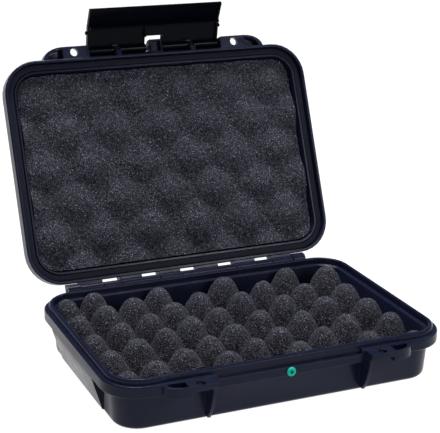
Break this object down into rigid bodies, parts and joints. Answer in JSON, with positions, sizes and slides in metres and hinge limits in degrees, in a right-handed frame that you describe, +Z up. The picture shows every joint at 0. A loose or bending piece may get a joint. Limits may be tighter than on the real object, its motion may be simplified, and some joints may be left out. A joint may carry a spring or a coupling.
{
  "type": "carrying case",
  "caption": "Small hard carrying case, shown open: two moulded shells on a rear hinge, wide front lever latch, rim seal and egg-crate foam.",
  "frame": {"origin": "on the table, on the base's flat underside, under the middle of the rim's outline", "axes": "+Z up, front with the latch ledge towards -Y, hinge along X at the back; stored with the lid open and leaning back"},
  "size_m": [0.23, 0.2488, 0.2139],
  "materials": {
    "shell": "near-black blue moulded plastic, satin",
    "latch": "near-black blue moulded plastic, satin",
    "gasket": "dark grey seal rubber",
    "foam": "charcoal open-cell foam with fine cells",
    "pin": "plain drawn steel",
    "vent_seal": "green seal rubber"
  },
  "bodies": {
    "base": {"base_shell": "shell", "base_foam": "foam", "hinge_pin_left": "pin", "hinge_pin_right": "pin", "vent_seal": "vent_seal"},
    "lid": {"lid_shell": "shell", "lid_gasket": "gasket", "lid_foam": "foam", "latch_pin": "pin"},
    "latch": {"latch": "latch"}
  },
  "joints": [
    {"name": "lid_hinge", "type": "hinge", "parent": "base", "child": "lid", "pos_m": [0, 0.0832, 0.0319], "axis": [1, 0, 0], "range_deg": [0, 113.36]},
    {"name": "latch_hinge", "type": "hinge", "parent": "lid", "child": "latch", "pos_m": [0, 0.1555, 0.18215], "axis": [1, 0, 0], "range_deg": [-53.4, 66.6]}
  ]
}
